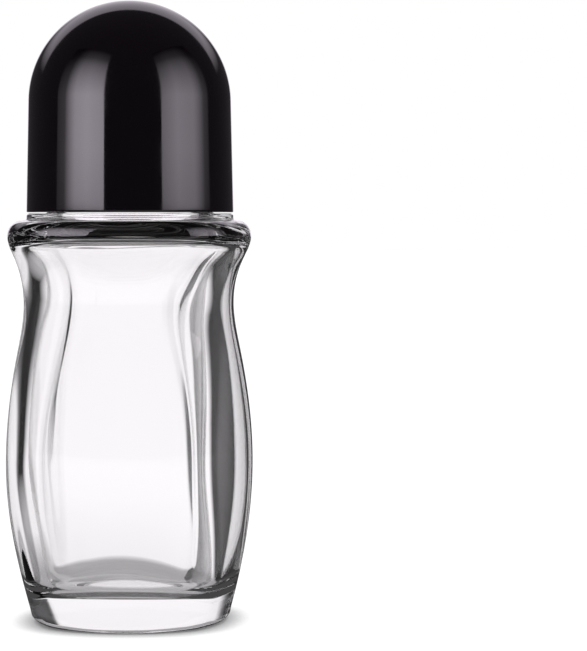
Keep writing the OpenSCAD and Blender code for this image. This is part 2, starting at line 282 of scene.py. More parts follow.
class Body:
    """The bottle's sides, corners and walls as functions of height."""

    def __init__(self, g):
        self.g = g
        self.lip_z = g.shoulder_h - g.lip_edge_h
        foot = (0.0, g.foot_w / 2, g.foot_flare)
        belly = (g.belly_z, g.belly_w / 2, 0.0)
        waist = (g.waist_z, g.waist_w / 2, 0.0)
        lip = (self.lip_z, g.lip_w / 2, 0.0)
        self.sides = [
            foot,
            belly,
            between(belly, waist, CHEST_SHARES),
            waist,
            between(waist, lip, FLARE_SHARES),
            lip,
        ]
        self.corners = [
            (0.0, g.foot_corner_r, 0.0),
            (g.belly_z, g.belly_corner_r, 0.0),
            (g.waist_z, g.waist_corner_r, 0.0),
            (self.lip_z, g.lip_corner_r, 0.0),
        ]
        self.side_radii = [
            (0.0, g.foot_side_r, 0.0),
            (g.belly_z, g.belly_side_r, 0.0),
            (g.waist_z, g.waist_side_r, 0.0),
            (self.lip_z, g.lip_side_r, 0.0),
        ]
        thinning = (g.waist_wall - g.foot_wall) / g.waist_z
        self.walls = [
            (0.0, g.foot_wall, 0.0),
            (g.belly_z, g.belly_wall, thinning),
            (g.waist_z, g.waist_wall, 0.0),
            (self.lip_z, g.waist_wall, 0.0),
        ]
        self.cavity_corners = [
            (0.0, g.cavity_belly_corner_r, 0.0),
            (g.belly_z, g.cavity_belly_corner_r, 0.0),
            (g.waist_z, g.cavity_waist_corner_r, 0.0),
            (self.lip_z, g.cavity_waist_corner_r, 0.0),
        ]
        self.cavity_radii = [
            (0.0, g.cavity_belly_r, 0.0),
            (g.belly_z, g.cavity_belly_r, 0.0),
            (g.waist_z, g.cavity_waist_r, 0.0),
            (self.lip_z, g.cavity_waist_r, 0.0),
        ]

    def eased(self, stations, z):
        """The stations' curve with its changes of bend drawn out, as soft glass has them."""
        offsets = np.linspace(-1, 1, EASE_STEPS)
        weights = 1 + np.cos(math.pi * offsets)
        values = [along(stations, z + EASE_REACH * o) for o in offsets]
        return float(np.average(values, weights=weights))

    def half(self, z):
        return self.eased(self.sides, z)

    def outside(self, z, inset, turns):
        """The glass's outline at height z, moved in by inset."""
        corner = max(self.eased(self.corners, z) - inset, LEAST_CORNER)
        return outline(self.half(z) - inset, corner, along(self.side_radii, z) - inset, turns)

    def inside(self, z, inset, turns):
        """The cavity's outline at height z, moved in by inset."""
        half = self.half(z) - along(self.walls, z) - inset
        corner = max(along(self.cavity_corners, z) - inset, LEAST_CORNER)
        return outline(half, corner, along(self.cavity_radii, z), turns)


def after(start, end, count):
    """As many evenly spaced values as count, past start and up to end."""
    return np.linspace(start, end, count + 1)[1:]


def corner_turns(count, pull=1.0):
    """Angles round the axis, closer at the four corners, or evenly spaced with a pull of 1."""
    quarter = np.arange(count // 4) / (count // 4) * 2 - 1
    eased = (1 + pull * quarter + (1 - pull) * quarter**3) * TURN / 8
    return np.concatenate([eased + k * TURN / 4 for k in range(4)])


def outline(half, corner, side_r, turns):
    """Distance from the axis, at each turn, to a square with bulging sides and round corners."""
    c, s = np.abs(np.cos(turns)), np.abs(np.sin(turns))
    far, near = np.maximum(c, s), np.minimum(c, s)
    a = half - side_r
    k = (a + math.sqrt(2 * (side_r - corner) ** 2 - a**2)) / 2
    side = a * far + np.sqrt(side_r**2 - (a * near) ** 2)
    reach = k * (far + near)
    arc = reach + np.sqrt(np.maximum(reach**2 - 2 * k**2 + corner**2, 0))
    end = math.atan2(k, k - a)
    meet = side_r * math.sin(end) / (a + side_r * math.cos(end))
    return np.where(near <= meet * far, side, arc)


def ring(radii, z, turns):
    """Points round the axis. The radius and the height may each be one value or one per turn."""
    radii, z = np.broadcast_to(radii, turns.shape), np.broadcast_to(z, turns.shape)
    return np.stack([radii * np.cos(turns), radii * np.sin(turns), z], axis=1)


def rounded(corners, steps=5, hold=0.12 * MM):
    """An outline from corners of (radius, height, rounding), with an arc at each rounding."""
    points = []
    for i, (x, z, r) in enumerate(corners):
        here = np.array([x, z])
        if r <= 0 or i in (0, len(corners) - 1):
            points.append(here)
            continue
        u = np.array(corners[i - 1][:2]) - here
        v = np.array(corners[i + 1][:2]) - here
        room = min(np.linalg.norm(u), np.linalg.norm(v))
        u, v = u / np.linalg.norm(u), v / np.linalg.norm(v)
        half = math.acos(np.clip(u @ v, -1, 1)) / 2
        back = r / math.tan(half)
        middle = here + (u + v) / np.linalg.norm(u + v) * r / math.sin(half)
        start, end = here + u * back, here + v * back
        a, b = start - middle, end - middle
        swing = math.acos(np.clip(a @ b / r**2, -1, 1))
        if back + hold < room:
            points.append(start + u * hold)
        for t in np.linspace(0, 1, steps + 1):
            arc = math.sin((1 - t) * swing) * a + math.sin(t * swing) * b
            points.append(middle + arc / math.sin(swing))
        if back + hold < room:
            points.append(end + v * hold)
    return points


def skin(name, rings, loop=False):
    """A smooth closed mesh over rings. It closes on the axis or, as a loop, from last to first."""
    rings = np.array(rings)
    count, turns = rings.shape[:2]
    points = rings.reshape(-1, 3)
    if not loop:
        ends = [[0, 0, rings[0, :, 2].mean()], [0, 0, rings[-1, :, 2].mean()]]
        points = np.concatenate([points, ends])
    faces = []
    for j in range(count if loop else count - 1):
        low, high = j * turns, (j + 1) % count * turns
        for i in range(turns):
            k = (i + 1) % turns
            faces.append((low + i, low + k, high + k, high + i))
    if not loop:
        first, last = count * turns, (count - 1) * turns
        for i in range(turns):
            k = (i + 1) % turns
            faces.append((first, k, i))
            faces.append((first + 1, last + i, last + k))
    mesh = bpy.data.meshes.new(name)
    mesh.from_pydata(points.tolist(), [], faces)
    mesh.shade_smooth()
    made = bpy.data.objects.new(name, mesh)
    bpy.context.scene.collection.objects.link(made)
    return made


def thread_rise(turns, z, start_z, width, height, t):
    """How far a thread stands out of its wall at each turn, at height z."""
    out = np.zeros_like(turns)
    for lap in range(math.ceil(t.laps) + 1):
        gone = turns / TURN + lap
        fade = smooth(np.minimum(gone, t.laps - gone) / t.fade)
        off = np.abs(z - (start_z + t.pitch * gone)) / (width / 2)
        out = np.maximum(out, height * fade * smooth((1 - off) * t.flank))
    return out


def finish_piece(made, body, slot, material, *nodes):
    """Gives a piece its material and body, and hides the solids that it stands for.

    Its slot is not used.
    """
    made.data.materials.append(material)
    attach(made, body)
    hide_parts(*nodes)


def add(tree, kind, inputs=None, stops=(), **settings):
    """Adds one node with its settings. An input is a value, or another node's output to link.

    Stops are the places and brightnesses along a colour ramp, in order.
    """
    made = tree.nodes.new(kind)
    for name, value in settings.items():
        setattr(made, name, value)
    if stops:
        row = made.color_ramp.elements
        row[0].position, row[1].position = stops[0][0], stops[-1][0]
        for place, _ in stops[1:-1]:
            row.new(place)
        for stop, (_, level) in zip(row, stops):
            stop.color = (level, level, level, 1)
    for name, value in (inputs or {}).items():
        if isinstance(value, bpy.types.NodeSocket):
            tree.links.new(value, made.inputs[name])
        else:
            made.inputs[name].default_value = value
    return made


def new_material(name):
    """An empty node material and its output node."""
    made = bpy.data.materials.new(name)
    made.use_nodes = True
    made.node_tree.nodes.clear()
    return made, add(made.node_tree, "ShaderNodeOutputMaterial")


# Soda-lime flint glass, blown and fire polished. It bends light strongly and has a mirror skin, and
# the long way along a wall shows a faint cool grey.
def flint_glass(f):
    made, out = new_material("flint_glass_blown")
    tree = made.node_tree
    shader = add(
        tree,
        "ShaderNodeBsdfPrincipled",
        {"Base Color": f.flint, "Roughness": 0.0, "IOR": 1.5, "Transmission Weight": 1.0},
    )
    tree.links.new(shader.outputs["BSDF"], out.inputs["Surface"])
    depth = add(
        tree,
        "ShaderNodeVolumeAbsorption",
        {"Color": f.flint_depth, "Density": f.flint_density},
    )
    tree.links.new(depth.outputs["Volume"], out.inputs["Volume"])
    return made


# Where a noise's values lie, but for a few.
NOISE_LOW, NOISE_HIGH = 0.3, 0.7


def plastic(name, relief, rub, sockets, flow=None):
    """A plastic surface with the relief of its mould and the haze of its handling.

    Relief is a size, a detail and a depth. Rub is a size, a detail and the least and most
    roughness. Flow is the colour of the lines in it, where it shows any.
    """
    made, out = new_material(name)
    tree = made.node_tree
    place = add(tree, "ShaderNodeTexCoord").outputs["Object"]
    size, detail, depth = relief
    hills = add(tree, "ShaderNodeTexNoise", {"Vector": place, "Scale": 1 / size, "Detail": detail})
    bump = add(
        tree,
        "ShaderNodeBump",
        {"Height": hills.outputs["Fac"], "Strength": 1.0, "Distance": depth},
    )
    size, detail, least, most = rub
    marks = add(tree, "ShaderNodeTexNoise", {"Vector": place, "Scale": 1 / size, "Detail": detail})
    haze = add(
        tree,
        "ShaderNodeMapRange",
        {
            "Value": marks.outputs["Fac"],
            "From Min": NOISE_LOW,
            "From Max": NOISE_HIGH,
            "To Min": least,
            "To Max": most,
        },
    )
    shader = add(
        tree,
        "ShaderNodeBsdfPrincipled",
        {**sockets, "Roughness": haze.outputs["Result"], "Normal": bump.outputs["Normal"]},
    )
    if flow:
        tint = add(
            tree,
            "ShaderNodeMix",
            {"Factor": marks.outputs["Fac"], "A": sockets["Base Color"], "B": flow},
            data_type="RGBA",
        )
        tree.links.new(tint.outputs["Result"], shader.inputs["Base Color"])
    tree.links.new(shader.outputs["BSDF"], out.inputs["Surface"])
    return made


# ABS moulded against a polished mould: a black mirror with the faint orange peel of the resin's
# shrinkage, about 2.5 mm from dip to dip, and patches of the finest handling marks.
def gloss_abs(f):
    return plastic(
        "gloss_abs_moulded",
        (2.5 * MM, 1.0, 0.002 * MM),
        (6 * MM, 6.0, 0.05, 0.11),
        {"Base Color": f.gloss_black, "IOR": 1.54},
    )


# Polypropylene moulded in a satin mould: near black, with a broad soft sheen and a grain of half a
# millimetre, coarser than the real one so that it shows.
def satin_pp(f):
    return plastic(
        "satin_polypropylene_moulded",
        (0.5 * MM, 3.0, 0.008 * MM),
        (0.5 * MM, 3.0, 0.32, 0.45),
        {"Base Color": f.liner_black, "IOR": 1.49},
    )


# Low-density polyethylene without pigment: milky and waxy, so light goes a little way into it, with
# faint flow lines some 4 mm apart.
def natural_pe(f):
    return plastic(
        "natural_polyethylene_moulded",
        (4 * MM, 3.0, 0.01 * MM),
        (4 * MM, 3.0, 0.28, 0.38),
        {
            "Base Color": f.natural_pe,
            "IOR": 1.51,
            "Subsurface Weight": 0.3,
            "Subsurface Radius": (1.0, 0.95, 0.85),
            "Subsurface Scale": 0.8 * MM,
        },
        flow=[c * f.flow_shade for c in f.natural_pe[:3]] + [1.0],
    )


# White polypropylene, centreless ground and tumbled: an even sphere with a hard gloss and hair-fine
# marks from its socket, in patches of about 1.5 mm.
def ground_pp(f):
    return plastic(
        "white_polypropylene_ground",
        (1.5 * MM, 8.0, 0.002 * MM),
        (1.5 * MM, 8.0, 0.1, 0.22),
        {
            "Base Color": f.white_pp,
            "IOR": 1.49,
            "Subsurface Weight": 0.2,
            "Subsurface Radius": (1.0, 0.97, 0.92),
            "Subsurface Scale": 0.6 * MM,
        },
    )


# Points round the glass, drawn towards its corners, and rings along each stretch of it.
GLASS_TURNS = 224
CORNER_PULL = 0.5
PUSH_UP_RINGS = 18
BEARING_SHARES = (0.15, 0.5, 0.85)
HEEL_RINGS = 8
SIDE_RINGS = 96
LIP_RINGS = 9
SHOULDER_SHARES = (0.1, 0.35, 0.65, 0.9)
NECK_RINGS = 51
BORE_RINGS = 8
BORE_EDGE_RINGS = 7
CAVITY_TURN_RINGS = 11
WALL_RINGS = 84
FILLET_RINGS = 9
FLOOR_RINGS = 17

# Ripples in a wall that was blown free: strength, waves round it, mm of height per radian, start.
RIPPLES = ((0.45, 3, 7.0, 0.0), (0.3, 5, -4.1, 1.3), (0.25, 2, 2.9, 2.1))


def wave(turns, z):
    """All ripples together at one height, from -1 to 1."""
    return sum(
        strength * np.sin(waves * turns + z / MM / rise + start)
        for strength, waves, rise, start in RIPPLES
    )


def base_rings(g, body, turns):
    """Push-up, bearing ring and heel, from the axis outwards."""
    heel = lerp(g.heel_r, g.heel_corner_r, np.sin(2 * turns) ** 4)
    bearing = body.outside(0.0, 0.0, turns) - heel
    hollow = g.push_up_d / 2 + g.push_up_edge_r
    rings = []
    for t in after(0, 1, PUSH_UP_RINGS):
        rise = g.push_up_h * (1 - smooth((t - g.push_up_flat) / (1 - g.push_up_flat)))
        rings.append(ring(t * hollow, rise, turns))
    for t in BEARING_SHARES:
        rings.append(ring(lerp(hollow, bearing, t), 0.0, turns))
    for a in np.linspace(0, TURN / 4, HEEL_RINGS + 1)[:-1]:
        z = heel * (1 - math.cos(a))
        sides = body.outside(float(z.mean()), 0.0, turns)
        rings.append(ring(sides - heel * (1 - math.sin(a)), z, turns))
    return rings


def outer_rings(g, body, turns):
    """The outside, from the heel to the lip and in to the collar."""
    rings = [
        ring(body.outside(z, 0.0, turns), z, turns)
        for z in np.linspace(g.heel_corner_r, body.lip_z, SIDE_RINGS)
    ]
    for a in after(0, TURN / 4, LIP_RINGS):
        inset = g.lip_edge_in * (1 - math.cos(a))
        z = body.lip_z + g.lip_edge_h * math.sin(a)
        rings.append(ring(body.outside(body.lip_z, inset, turns), z, turns))
    edge = body.outside(body.lip_z, g.lip_edge_in, turns)
    for t in SHOULDER_SHARES:
        rings.append(ring(lerp(edge, g.collar_r + g.fillet_r, t), g.shoulder_h, turns))
    return rings


def neck_rings(g, t, turns):
    """Collar, threaded neck, rim and bore."""
    collar_z = g.shoulder_h + g.collar_h
    rim_z = collar_z + g.neck_h
    thread_foot = collar_z + g.fillet_r * 2
    thread_top = rim_z - g.rim_r * 1.5
    bore_top = rim_z - g.rim_r * 2
    bore_end = g.shoulder_h - g.shoulder_t + g.turn_edge_r
    collar = rounded(
        [
            (g.collar_r + g.fillet_r * 2, g.shoulder_h, 0),
            (g.collar_r, g.shoulder_h, g.fillet_r),
            (g.collar_r, collar_z, g.fillet_r),
            (g.neck_r, collar_z, g.fillet_r),
            (g.neck_r, thread_foot, 0),
        ]
    )
    rings = [ring(r, z, turns) for r, z in collar[1:]]
    for z in after(thread_foot, thread_top, NECK_RINGS):
        rise = thread_rise(turns, z, t.start_z, g.thread_w, g.thread_h, t)
        rings.append(ring(g.neck_r + rise, z, turns))
    rim = rounded(
        [
            (g.neck_r, thread_top, 0),
            (g.neck_r, rim_z, g.rim_r),
            (g.bore_r, rim_z, g.rim_r),
            (g.bore_r, bore_top, 0),
        ]
    )
    rings += [ring(r, z, turns) for r, z in rim[1:]]
    rings += [ring(g.bore_r, z, turns) for z in after(bore_top, bore_end, BORE_RINGS)]
    return rings


def inner_rings(g, body, turns):
    """The cavity, from the bore's edge down to the floor."""
    top_z = g.shoulder_h - g.shoulder_t
    turn_z = top_z - g.turn_h
    fillet_z = g.floor_t + g.floor_fillet
    rings = []
    for a in after(0, TURN / 4, BORE_EDGE_RINGS):
        r = g.bore_r + g.turn_edge_r * (1 - math.cos(a))
        z = top_z + g.turn_edge_r * (1 - math.sin(a))
        rings.append(ring(r, z, turns))
    start = g.bore_r + g.turn_edge_r
    wall = body.inside(turn_z, 0.0, turns)
    for a in after(TURN / 4, 0, CAVITY_TURN_RINGS)[:-1]:
        z = turn_z + g.turn_h * math.sin(a)
        rings.append(ring(lerp(start, wall, math.cos(a)), z, turns))
    levels = [(z, 0.0) for z in np.linspace(turn_z, fillet_z, WALL_RINGS)]
    for a in after(0, TURN / 4, FILLET_RINGS):
        levels.append((fillet_z - g.floor_fillet * math.sin(a), g.floor_fillet * (1 - math.cos(a))))
    for z, inset in levels:
        rings.append(ring(body.inside(z, inset, turns) + g.wave * wave(turns, z), z, turns))
    edge = np.linalg.norm(rings[-1][:, :2], axis=1)
    for t in after(1, 0, FLOOR_RINGS)[:-1]:
        r = edge * t
        crown = g.floor_crown * (1 + np.cos(np.pi * np.clip(2 * r / g.floor_crown_d, 0, 1))) / 2
        rings.append(ring(r, g.floor_t + crown, turns))
    rings = np.array(rings)
    share = np.clip((rings[:, :, 2] - g.floor_t) / (turn_z - g.floor_t), 0, 1)
    fade = smooth((share - g.lean_out) / (1 - g.lean_out))
    rings[:, :, 0] += g.lean * smooth(share / g.lean_in) * (1 - fade)
    return list(rings)


class ROLLON_OT_glass(bpy.types.Operator):
    """Builds the blown glass, with its threaded neck, as one closed skin"""

    bl_idname = "roll_on.glass"
    bl_label = "Bottle glass"

    def execute(self, context):
        g, t = context.scene.roll_on_glass, context.scene.roll_on_thread
        body = Body(g)
        turns = corner_turns(GLASS_TURNS, CORNER_PULL)
        rings = base_rings(g, body, turns)
        rings += outer_rings(g, body, turns)
        rings += neck_rings(g, t, turns)
        rings += inner_rings(g, body, turns)
        made = skin("bottle_glass", rings)
        material = flint_glass(context.scene.roll_on_finish)
        finish_piece(made, "bottle", "clear_glass", material, "glass_bottle")
        return {"FINISHED"}


# Points round the cap, rings along each stretch, and radians short of the pole where a dome closes.
CAP_TURNS = 256
DOME_RINGS = 48
SKIRT_RINGS = 13
SHELL_INSIDE_RINGS = 32
LINER_DOME_RINGS = 24
SEAL_RINGS = 4
LINER_INSIDE_RINGS = 20
LINER_WALL_RINGS = 56
POLE_GAP = 0.02


def dome_arc(radius, z, start, end, count):
    """Points of an arc about the axis at height z, from one angle above level to another."""
    turns = np.linspace(start, end, count)
    return [(radius * math.cos(a), z + radius * math.sin(a)) for a in turns]


class ROLLON_OT_cap_shell(bpy.types.Operator):
    """Builds the cap's glossy outer shell"""

    bl_idname = "roll_on.cap_shell"
    bl_label = "Cap shell"

    def execute(self, context):
        c = context.scene.roll_on_cap
        turns = corner_turns(CAP_TURNS)
        draft = (c.skirt_r - c.dome_r) / (c.dome_z - c.skirt_z)
        pole = TURN / 4 - POLE_GAP
        outside = dome_arc(c.dome_r, c.dome_z, pole, draft, DOME_RINGS)
        inside = dome_arc(c.shell_in_r, c.dome_z, 0, pole, SHELL_INSIDE_RINGS)
        skirt = rounded(
            [
                (*outside[-1], 0),
                (c.skirt_r, c.skirt_z, c.edge_r),
                (c.shell_in_r, c.skirt_z, c.edge_r),
                (*inside[0], 0),
            ]
        )[1:-1]
        wall = [
            (lerp(outside[-1][0], c.skirt_r, t), lerp(outside[-1][1], c.skirt_z, t))
            for t in after(0, 1, SKIRT_RINGS)[:-1]
        ]
        points = outside + wall + skirt + inside
        made = skin("cap_dome", [ring(r, z, turns) for r, z in reversed(points)])
        material = gloss_abs(context.scene.roll_on_finish)
        finish_piece(made, "cap", "cap_gloss", material, "cap_shell")
        return {"FINISHED"}


class ROLLON_OT_cap_liner(bpy.types.Operator):
    """Builds the threaded liner with the ring that bears on the ball"""

    bl_idname = "roll_on.cap_liner"
    bl_label = "Cap liner"

    def execute(self, context):
        c, t = context.scene.roll_on_cap, context.scene.roll_on_thread
        turns = corner_turns(CAP_TURNS)
        edge = c.liner_edge_r
        seal_in = c.seal_r - c.seal_wall
        top_out = math.acos(seal_in / c.liner_out_r)
        top_in = math.acos(c.seal_r / c.liner_in_r)
        low_in = math.acos(seal_in / c.seal_in_r)
        low_out = math.acos(c.seal_r / c.seal_in_r)
        outside = dome_arc(c.liner_out_r, c.ball_z, 0, top_out, LINER_DOME_RINGS)
        under = dome_arc(c.seal_in_r, c.ball_z, low_in, low_out, SEAL_RINGS)
        inside = dome_arc(c.liner_in_r, c.ball_z, top_in, 0, LINER_INSIDE_RINGS)
        foot_z = c.liner_z + c.liner_foot_h
        foot = rounded(
            [
                (c.liner_in_r, foot_z, 0),
                (c.liner_in_r, c.liner_z, edge * 2),
                (c.liner_foot_r, c.liner_z, edge),
                (c.liner_foot_r, foot_z, edge),
                (c.liner_out_r, foot_z, 0),
                (c.liner_out_r, foot_z + edge, 0),
            ],
            steps=3,
        )
        thread_foot = t.start_z + t.pitch / 2
        wall_top = thread_foot + t.pitch * t.laps + c.liner_lead
        rings = [ring(r, z, turns) for r, z in outside + under + inside]
        for z in np.linspace(wall_top, foot_z, LINER_WALL_RINGS):
            rise = thread_rise(turns, z, thread_foot, c.thread_w, c.thread_h, t)
            rings.append(ring(c.liner_in_r - rise, z, turns))
        rings += [ring(r, z, turns) for r, z in foot[1:]]
        made = skin("cap_liner_moulding", rings[::-1], loop=True)
        material = satin_pp(context.scene.roll_on_finish)
        finish_piece(made, "cap", "liner_plastic", material, "cap_liner")
        return {"FINISHED"}


class ROLLON_OT_ball(bpy.types.Operator):
    """Finishes the ball and the housing that it rolls in"""

    bl_idname = "roll_on.ball"
    bl_label = "Ball and housing"

    def execute(self, context):
        finish = context.scene.roll_on_finish
        for node, slot, material in (
            ("roller_ball", "ball_plastic", ground_pp(finish)),
            ("ball_housing", "housing_plastic", natural_pe(finish)),
        ):
            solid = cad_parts[node]
            solid.data.materials.clear()
            solid.data.materials.append(material)
        return {"FINISHED"}


def flat_card(name, width, height):
    """A flat sheet of four corners in its own XY plane."""
    x, y = width / 2, height / 2
    mesh = bpy.data.meshes.new(name)
    mesh.from_pydata([(-x, -y, 0), (x, -y, 0), (x, y, 0), (-x, y, 0)], [], [(0, 1, 2, 3)])
    made = bpy.data.objects.new(name, mesh)
    bpy.context.scene.collection.objects.link(made)
    return made


WHITE = (1, 1, 1, 1)

# The photograph's whites are faintly magenta, and what its black cap reflects is a little purple.
FIELD_TINT = (1.0, 0.972, 1.0, 1)
SHINE_TINT = (0.97, 0.89, 1.0, 1)

# Brightness round the bottle by degrees beside the view: to the right above 0, and towards the
# camera at 180. The glass finds the field, which is white but for a dark flag on either side, and
# reflections find a table that is white in front only.
FIELD = (
    (-180, 1.0),
    (-80, 1.0),
    (-74, 0.5),
    (-69, 0.025),
    (-57, 0.025),
    (-51, 0.2),
    (-44, 1.0),
    (25, 1.0),
    (27, 0.055),
    (45, 0.07),
    (52, 0.035),
    (67, 0.035),
    (72, 0.5),
    (78, 1.0),
    (180, 1.0),
)
FRONT = ((-180, 1.0), (-145, 1.0), (-125, 0.0), (125, 0.0), (145, 1.0), (180, 1.0))

# Brightness by the metres that the table comes forward from the axis.
FRONT_REACH = ((0.0, 0.0), (0.03, 0.0), (0.12, 1.0), (0.4, 1.0), (1.0, 0.0))

# Painted shade under the foot by how open the table is, which is felt backwards and up, so that it
# falls as if the light came from behind.
PAINTED_CONTACT_SHADE = ((0.2, 0.15), (0.5, 0.5), (0.8, 0.95))
CONTACT_TILT = (0.8, 0.6)

# The bottle's painted shade on the table, which only the glass finds, from its axis to the shade's
# reach.
PAINTED_BOTTLE_SHADE = ((0.0, 0.4), (0.2, 0.42), (0.32, 0.94), (0.7, 0.98), (1.0, 1.0))

# The dark ceiling by height, and the white wall behind: down to the table in the middle, its upper
# part all along, and nothing of it nearer than far back.
CEILING = ((0.0, 1.0), (0.4, 1.0), (0.65, 0.04), (1.0, 0.04))
WALL_MIDDLE = ((0.0, 1.0), (0.15, 1.0), (0.28, 0.0), (1.0, 0.0))
WALL_TOP = ((0.0, 0.0), (0.26, 0.0), (0.44, 1.0), (1.0, 1.0))
WALL_FAR = ((0.0, 0.0), (0.57, 0.0), (0.61, 1.0), (1.0, 1.0))

# The cards' ends seen from above, in mm from the axis with the camera towards -Y, and their
# brightness from end to end and from foot to top.
LEFT_CARD = ((-38.3, -78), (-100, -14))
LEFT_ACROSS = ((0.0, 0.85), (0.3, 1.0), (0.52, 0.85), (0.76, 0.12), (1.0, 0.06))
RIGHT_CARD = ((48.7, -77.6), (96, 2))
RIGHT_ACROSS = ((0.0, 0.65), (0.3, 1.0), (0.6, 0.8), (0.85, 0.15), (1.0, 0.08))
CARD_UP = ((0.0, 0.8), (0.1, 1.0), (0.2, 1.0), (0.75, 0.1), (1.0, 0.0))


def facing(tree, place, studio):
    """A place or direction with +Y straight away from the photograph's camera, and its parts."""
    turned = add(
        tree,
        "ShaderNodeVectorRotate",
        {"Vector": place, "Angle": -math.radians(studio.azimuth)},
        rotation_type="Z_AXIS",
    ).outputs["Vector"]
    return turned, add(tree, "ShaderNodeSeparateXYZ", {"Vector": turned}).outputs


def by_angle(tree, way, levels):
    """Brightness by degrees beside the view, where way holds the parts of a place or direction."""
    side = add(tree, "ShaderNodeMath", {0: way["X"], 1: way["Y"]}, operation="ARCTAN2")
    share = add(
        tree,
        "ShaderNodeMath",
        {0: side.outputs["Value"], 1: 1 / TURN, 2: 0.5},
        operation="MULTIPLY_ADD",
    )
    return add(
        tree,
        "ShaderNodeValToRGB",
        {"Fac": share.outputs["Value"]},
        stops=[(angle / 360 + 0.5, level) for angle, level in levels],
    ).outputs["Color"]


def table_seen(tree, path, studio):
    """The table for camera and light: matt, but white where it is seen outside its painted shade.
    """
    matt = add(tree, "ShaderNodeBsdfDiffuse", {"Color": studio.table_grey})
    turn = math.radians(studio.azimuth)
    back, up = CONTACT_TILT
    near = add(
        tree,
        "ShaderNodeAmbientOcclusion",
        {
            "Distance": studio.contact,
            "Normal": (-back * math.sin(turn), back * math.cos(turn), up),
        },
        samples=8,
    )
    # Painted shadow: occlusion under the foot dims the table's white glow.
    shade = add(tree, "ShaderNodeValToRGB", {"Fac": near.outputs["AO"]}, stops=PAINTED_CONTACT_SHADE)
    glow = add(
        tree,
        "ShaderNodeMath",
        {0: path.outputs["Is Camera Ray"], 1: shade.outputs["Color"]},
        operation="MULTIPLY",
    )
    white = add(tree, "ShaderNodeEmission", {"Color": WHITE, "Strength": glow.outputs["Value"]})
    both = add(tree, "ShaderNodeAddShader", {0: matt.outputs["BSDF"], 1: white.outputs["Emission"]})
    return both.outputs["Shader"]


def table_in_shine(tree, way, studio):
    """How bright reflections find the table."""
    near = add(tree, "ShaderNodeMath", {0: way["Y"], 1: -1.0}, operation="MULTIPLY")
    reach = add(tree, "ShaderNodeValToRGB", {"Fac": near.outputs["Value"]}, stops=FRONT_REACH)
    front = add(
        tree,
        "ShaderNodeMath",
        {0: by_angle(tree, way, FRONT), 1: reach.outputs["Color"]},
        operation="MULTIPLY",
    )
    return add(
        tree,
        "ShaderNodeMath",
        {0: front.outputs["Value"], 1: studio.dim},
        operation="MAXIMUM",
    ).outputs["Value"]


def table_through(tree, place, way, studio):
    """How bright the glass finds the table: the field, a pale patch and a white strip, shaded.

    The patch and the strip are painted light, and the shade is the bottle's painted shade.
    """
    aside = add(tree, "ShaderNodeMath", {0: way["X"]}, operation="ABSOLUTE")
    ahead = add(tree, "ShaderNodeMath", {0: way["Y"]}, operation="ABSOLUTE")
    # Painted light: a white strip on the table along the view, through the foot.
    strip = add(
        tree,
        "ShaderNodeMapRange",
        {
            "Value": aside.outputs["Value"],
            "From Min": studio.strip_half,
            "From Max": studio.strip_half + studio.strip_edge,
            "To Min": 1.0,
            "To Max": 0.0,
        },
    )
    # Painted light: a pale patch on the table left of the axis.
    off = add(
        tree,
        "ShaderNodeVectorMath",
        {0: place, 1: (-studio.patch_x, 0, 0)},
        operation="DISTANCE",
    )
    patch = add(
        tree,
        "ShaderNodeMapRange",
        {
            "Value": off.outputs["Value"],
            "From Min": studio.patch_r,
            "From Max": studio.patch_r * studio.patch_fade,
            "To Min": studio.patch_level,
            "To Max": 0.0,
        },
    )
    level = by_angle(tree, way, FIELD)
    for spot in (patch, strip):
        level = add(
            tree, "ShaderNodeMath", {0: level, 1: spot.outputs["Result"]}, operation="MAXIMUM"
        ).outputs["Value"]
    # Painted shade: the bottle's shade on the table, from its axis outwards.
    off = add(
        tree,
        "ShaderNodeMath",
        {0: aside.outputs["Value"], 1: ahead.outputs["Value"]},
        operation="MAXIMUM",
    )
    share = add(
        tree,
        "ShaderNodeMath",
        {0: off.outputs["Value"], 1: studio.shade_reach},
        operation="DIVIDE",
    )
    lit = add(tree, "ShaderNodeValToRGB", {"Fac": share.outputs["Value"]}, stops=PAINTED_BOTTLE_SHADE)
    return add(
        tree, "ShaderNodeMath", {0: level, 1: lit.outputs["Color"]}, operation="MULTIPLY"
    ).outputs["Value"]


# Matt white board, lit evenly, with a painted shadow under the foot where the camera sees it. What
# reflections and the glass find of it is set apart from what the camera sees, as cards and flags on
# a studio table do.
def white_board(studio):
    made, out = new_material("matt_white_board")
    tree = made.node_tree
    path = add(tree, "ShaderNodeLightPath")
    shine, bent = path.outputs["Is Glossy Ray"], path.outputs["Is Transmission Ray"]
    position = add(tree, "ShaderNodeNewGeometry").outputs["Position"]
    place, way = facing(tree, position, studio)
    in_shine = table_in_shine(tree, way, studio)
    through = table_through(tree, place, way, studio)
    level = add(tree, "ShaderNodeMix", {"Factor": bent, "A": in_shine, "B": through})
    found = add(
        tree, "ShaderNodeEmission", {"Color": FIELD_TINT, "Strength": level.outputs["Result"]}
    )
    either = add(tree, "ShaderNodeMath", {0: bent, 1: shine}, operation="MAXIMUM")
    mixed = add(
        tree,
        "ShaderNodeMixShader",
        {
            0: either.outputs["Value"],
            1: table_seen(tree, path, studio),
            2: found.outputs["Emission"],
        },
    )
    tree.links.new(mixed.outputs["Shader"], out.inputs["Surface"])
    return made


